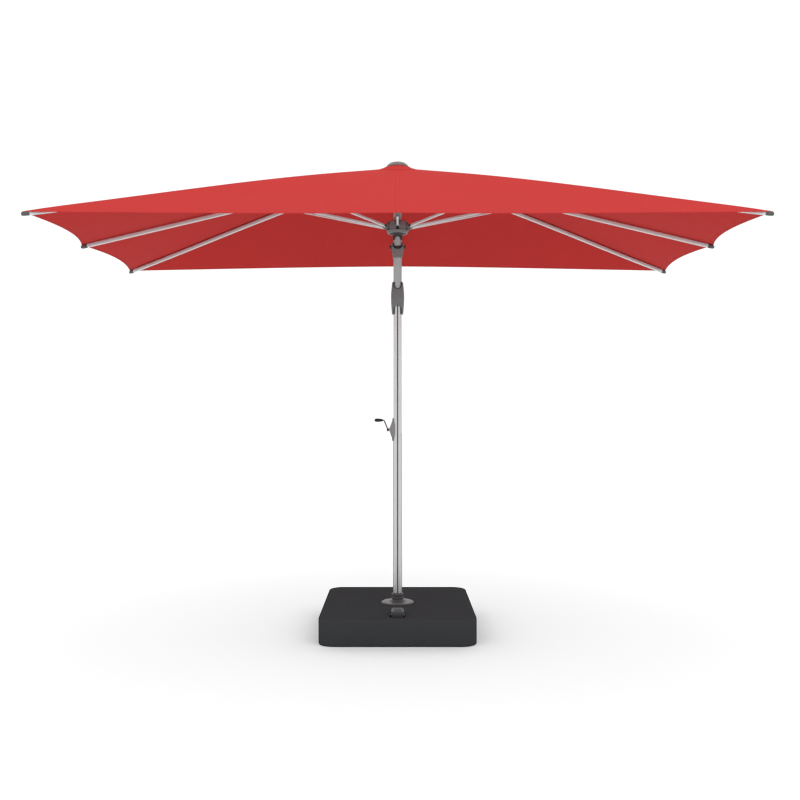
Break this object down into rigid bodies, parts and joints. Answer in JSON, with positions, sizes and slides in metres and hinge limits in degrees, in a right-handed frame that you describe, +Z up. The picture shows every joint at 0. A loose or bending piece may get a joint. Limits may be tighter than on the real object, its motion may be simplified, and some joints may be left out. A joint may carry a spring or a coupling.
{
  "type": "patio umbrella with base",
  "caption": "Rectangular centre-pole patio umbrella with crank, tilt joint, folding ribs and struts, fabric canopy, and a weighted square base that swivels with a foot pedal.",
  "frame": {"origin": "on the ground under the mast axis, at the centre of the base of the overall box", "axes": "+Z up, +X along the canopy's long side, -Y towards the front, where the foot pedal is"},
  "size_m": [3.543, 1.714, 2.5913],
  "materials": {
    "red_fabric": "woven, matt",
    "silver_aluminium": "satin anodised",
    "charcoal_plastic": "fine grain",
    "dark_plastic": "moulded",
    "grey_plastic": "moulded",
    "taupe_plastic": "moulded",
    "black_rubber": "matt",
    "steel": "zinc plated",
    "cast_iron": "painted"
  },
  "bodies": {
    "base": {"base_shell": "charcoal_plastic", "base_frame": "cast_iron", "ballast_plate_left": "cast_iron", "ballast_plate_right": "cast_iron", "base_foot_front_left": "black_rubber", "base_foot_front_right": "black_rubber", "base_foot_back_left": "black_rubber", "base_foot_back_right": "black_rubber", "foot_flange": "grey_plastic", "mast_spigot": "steel", "pedal_bracket": "steel", "pedal_pin": "steel"},
    "pedal": {"foot_pedal": "dark_plastic"},
    "mast": {"foot_collar": "dark_plastic", "swivel_bush": "black_rubber", "lower_mast": "silver_aluminium", "knuckle": "grey_plastic", "middle_tube": "silver_aluminium", "tilt_collar": "taupe_plastic", "tilt_bolt": "dark_plastic", "crank_housing": "grey_plastic"},
    "crank": {"crank_drum": "steel", "crank_arm": "dark_plastic"},
    "grip": {"crank_grip": "black_rubber"},
    "head": {"upper_tube": "silver_aluminium", "tilt_block": "dark_plastic", "runner_seat": "grey_plastic", "crown_hub": "dark_plastic", "rib_hinge_wire": "steel", "crown_cap": "taupe_plastic", "pulley_axle": "steel", "canopy_fabric": "red_fabric"},
    "pulley": {"lift_pulley": "dark_plastic"},
    "runner": {"runner": "taupe_plastic"},
    "rib_right_arm": {"rib_right": "silver_aluminium", "rib_cap_right": "dark_plastic"},
    "strut_right_arm": {"strut_right": "silver_aluminium"},
    "rib_back_right_arm": {"rib_back_right": "silver_aluminium", "rib_cap_back_right": "dark_plastic"},
    "strut_back_right_arm": {"strut_back_right": "silver_aluminium"},
    "rib_back_arm": {"rib_back": "silver_aluminium", "rib_cap_back": "dark_plastic"},
    "strut_back_arm": {"strut_back": "silver_aluminium"},
    "rib_back_slider": {"rib_bracket_back": "steel"},
    "rib_back_left_arm": {"rib_back_left": "silver_aluminium", "rib_cap_back_left": "dark_plastic"},
    "strut_back_left_arm": {"strut_back_left": "silver_aluminium"},
    "rib_left_arm": {"rib_left": "silver_aluminium", "rib_cap_left": "dark_plastic"},
    "strut_left_arm": {"strut_left": "silver_aluminium"},
    "rib_front_left_arm": {"rib_front_left": "silver_aluminium", "rib_cap_front_left": "dark_plastic"},
    "strut_front_left_arm": {"strut_front_left": "silver_aluminium"},
    "rib_front_arm": {"rib_front": "silver_aluminium", "rib_cap_front": "dark_plastic"},
    "strut_front_arm": {"strut_front": "silver_aluminium"},
    "rib_front_slider": {"rib_bracket_front": "steel"},
    "rib_front_right_arm": {"rib_front_right": "silver_aluminium", "rib_cap_front_right": "dark_plastic"},
    "strut_front_right_arm": {"strut_front_right": "silver_aluminium"}
  },
  "joints": [
    {"name": "mast_turn", "type": "hinge", "parent": "base", "child": "mast", "pos_m": [0, 0, 0.1583], "axis": [0, 0, 1], "continuous": true},
    {"name": "pedal_press", "type": "hinge", "parent": "base", "child": "pedal", "pos_m": [0, -0.27, 0.125], "axis": [1, 0, 0], "range_deg": [0, 5], "stiffness_Nm_per_rad": 12, "springref_deg": -6.88},
    {"name": "canopy_tilt", "type": "hinge", "parent": "mast", "child": "head", "pos_m": [0, 0, 2.1203], "axis": [1, 0, 0], "range_deg": [0, 30]},
    {"name": "runner_slide", "type": "slide", "parent": "head", "child": "runner", "axis": [0, 0, 1], "range_m": [-0.95, 0], "deforming": ["canopy_fabric"]},
    {"name": "crank_turn", "type": "hinge", "parent": "mast", "child": "crank", "pos_m": [0, 0, 1.1013], "axis": [1, 0, 0], "range_deg": [-5450, 5]},
    {"name": "grip_spin", "type": "hinge", "parent": "crank", "child": "grip", "pos_m": [-0.076, 0, 1.1543], "axis": [1, 0, 0], "continuous": true},
    {"name": "pulley_turn", "type": "hinge", "parent": "head", "child": "pulley", "pos_m": [0, 0, 2.4773], "axis": [1, 0, 0], "range_deg": [-4400, 5]},
    {"name": "rib_right_fold", "type": "hinge", "parent": "head", "child": "rib_right_arm", "pos_m": [0.054, 0, 2.5273], "axis": [0, 1, 0], "range_deg": [-0.5, 71.15]},
    {"name": "strut_right_fold", "type": "hinge", "parent": "rib_right_arm", "child": "strut_right_arm", "pos_m": [0.67037, 0, 2.36047], "axis": [0, 1, 0], "range_deg": [-146.9, 0.5]},
    {"name": "rib_back_right_fold", "type": "hinge", "parent": "head", "child": "rib_back_right_arm", "pos_m": [0.04861, 0.02353, 2.5273], "axis": [-0.4357, 0.9001, 0], "range_deg": [-0.5, 72.21]},
    {"name": "strut_back_right_fold", "type": "hinge", "parent": "rib_back_right_arm", "child": "strut_back_right_arm", "pos_m": [0.60477, 0.29271, 2.39262], "axis": [-0.4357, 0.9001, 0], "range_deg": [-143.29, 0.5]},
    {"name": "rib_back_fold", "type": "hinge", "parent": "head", "child": "rib_back_arm", "pos_m": [0, 0.054, 2.5273], "axis": [-1, 0, 0], "range_deg": [-0.5, 55.2]},
    {"name": "bracket_back_slide", "type": "slide", "parent": "rib_back_arm", "child": "rib_back_slider", "axis": [0, 0.8721, -0.4894], "range_m": [-0.001, 0.17561]},
    {"name": "strut_back_fold", "type": "hinge", "parent": "rib_back_slider", "child": "strut_back_arm", "pos_m": [0, 0.55873, 2.22112], "axis": [-1, 0, 0], "range_deg": [-142.36, 0.5]},
    {"name": "rib_back_left_fold", "type": "hinge", "parent": "head", "child": "rib_back_left_arm", "pos_m": [-0.04861, 0.02353, 2.5273], "axis": [-0.4357, -0.9001, 0], "range_deg": [-0.5, 72.21]},
    {"name": "strut_back_left_fold", "type": "hinge", "parent": "rib_back_left_arm", "child": "strut_back_left_arm", "pos_m": [-0.60477, 0.29271, 2.39262], "axis": [-0.4357, -0.9001, 0], "range_deg": [-143.29, 0.5]},
    {"name": "rib_left_fold", "type": "hinge", "parent": "head", "child": "rib_left_arm", "pos_m": [-0.054, 0, 2.5273], "axis": [0, -1, 0], "range_deg": [-0.5, 71.15]},
    {"name": "strut_left_fold", "type": "hinge", "parent": "rib_left_arm", "child": "strut_left_arm", "pos_m": [-0.67037, 0, 2.36047], "axis": [0, -1, 0], "range_deg": [-146.9, 0.5]},
    {"name": "rib_front_left_fold", "type": "hinge", "parent": "head", "child": "rib_front_left_arm", "pos_m": [-0.04861, -0.02353, 2.5273], "axis": [0.4357, -0.9001, 0], "range_deg": [-0.5, 72.21]},
    {"name": "strut_front_left_fold", "type": "hinge", "parent": "rib_front_left_arm", "child": "strut_front_left_arm", "pos_m": [-0.60477, -0.29271, 2.39262], "axis": [0.4357, -0.9001, 0], "range_deg": [-143.29, 0.5]},
    {"name": "rib_front_fold", "type": "hinge", "parent": "head", "child": "rib_front_arm", "pos_m": [0, -0.054, 2.5273], "axis": [1, 0, 0], "range_deg": [-0.5, 55.2]},
    {"name": "bracket_front_slide", "type": "slide", "parent": "rib_front_arm", "child": "rib_front_slider", "axis": [0, -0.8721, -0.4894], "range_m": [-0.001, 0.17561]},
    {"name": "strut_front_fold", "type": "hinge", "parent": "rib_front_slider", "child": "strut_front_arm", "pos_m": [0, -0.55873, 2.22112], "axis": [1, 0, 0], "range_deg": [-142.36, 0.5]},
    {"name": "rib_front_right_fold", "type": "hinge", "parent": "head", "child": "rib_front_right_arm", "pos_m": [0.04861, -0.02353, 2.5273], "axis": [0.4357, 0.9001, 0], "range_deg": [-0.5, 72.21]},
    {"name": "strut_front_right_fold", "type": "hinge", "parent": "rib_front_right_arm", "child": "strut_front_right_arm", "pos_m": [0.60477, -0.29271, 2.39262], "axis": [0.4357, 0.9001, 0], "range_deg": [-143.29, 0.5]}
  ],
  "couplings": [
    {"joint": "crank_turn", "follows": "runner_slide", "rad_per_m": 100},
    {"joint": "pulley_turn", "follows": "runner_slide", "rad_per_m": 80},
    {"joint": "rib_right_fold", "follows": "runner_slide", "rad_per_m": -1.298},
    {"joint": "strut_right_fold", "follows": "runner_slide", "rad_per_m": 2.6896},
    {"joint": "rib_back_right_fold", "follows": "runner_slide", "rad_per_m": -1.3173},
    {"joint": "strut_back_right_fold", "follows": "runner_slide", "rad_per_m": 2.6233},
    {"joint": "bracket_back_slide", "follows": "runner_slide", "ratio": -0.1838},
    {"joint": "rib_back_fold", "follows": "runner_slide", "rad_per_m": -1.0049},
    {"joint": "strut_back_fold", "follows": "runner_slide", "rad_per_m": 2.6062},
    {"joint": "rib_back_left_fold", "follows": "runner_slide", "rad_per_m": -1.3173},
    {"joint": "strut_back_left_fold", "follows": "runner_slide", "rad_per_m": 2.6233},
    {"joint": "rib_left_fold", "follows": "runner_slide", "rad_per_m": -1.298},
    {"joint": "strut_left_fold", "follows": "runner_slide", "rad_per_m": 2.6896},
    {"joint": "rib_front_left_fold", "follows": "runner_slide", "rad_per_m": -1.3173},
    {"joint": "strut_front_left_fold", "follows": "runner_slide", "rad_per_m": 2.6233},
    {"joint": "bracket_front_slide", "follows": "runner_slide", "ratio": -0.1838},
    {"joint": "rib_front_fold", "follows": "runner_slide", "rad_per_m": -1.0049},
    {"joint": "strut_front_fold", "follows": "runner_slide", "rad_per_m": 2.6062},
    {"joint": "rib_front_right_fold", "follows": "runner_slide", "rad_per_m": -1.3173},
    {"joint": "strut_front_right_fold", "follows": "runner_slide", "rad_per_m": 2.6233}
  ]
}
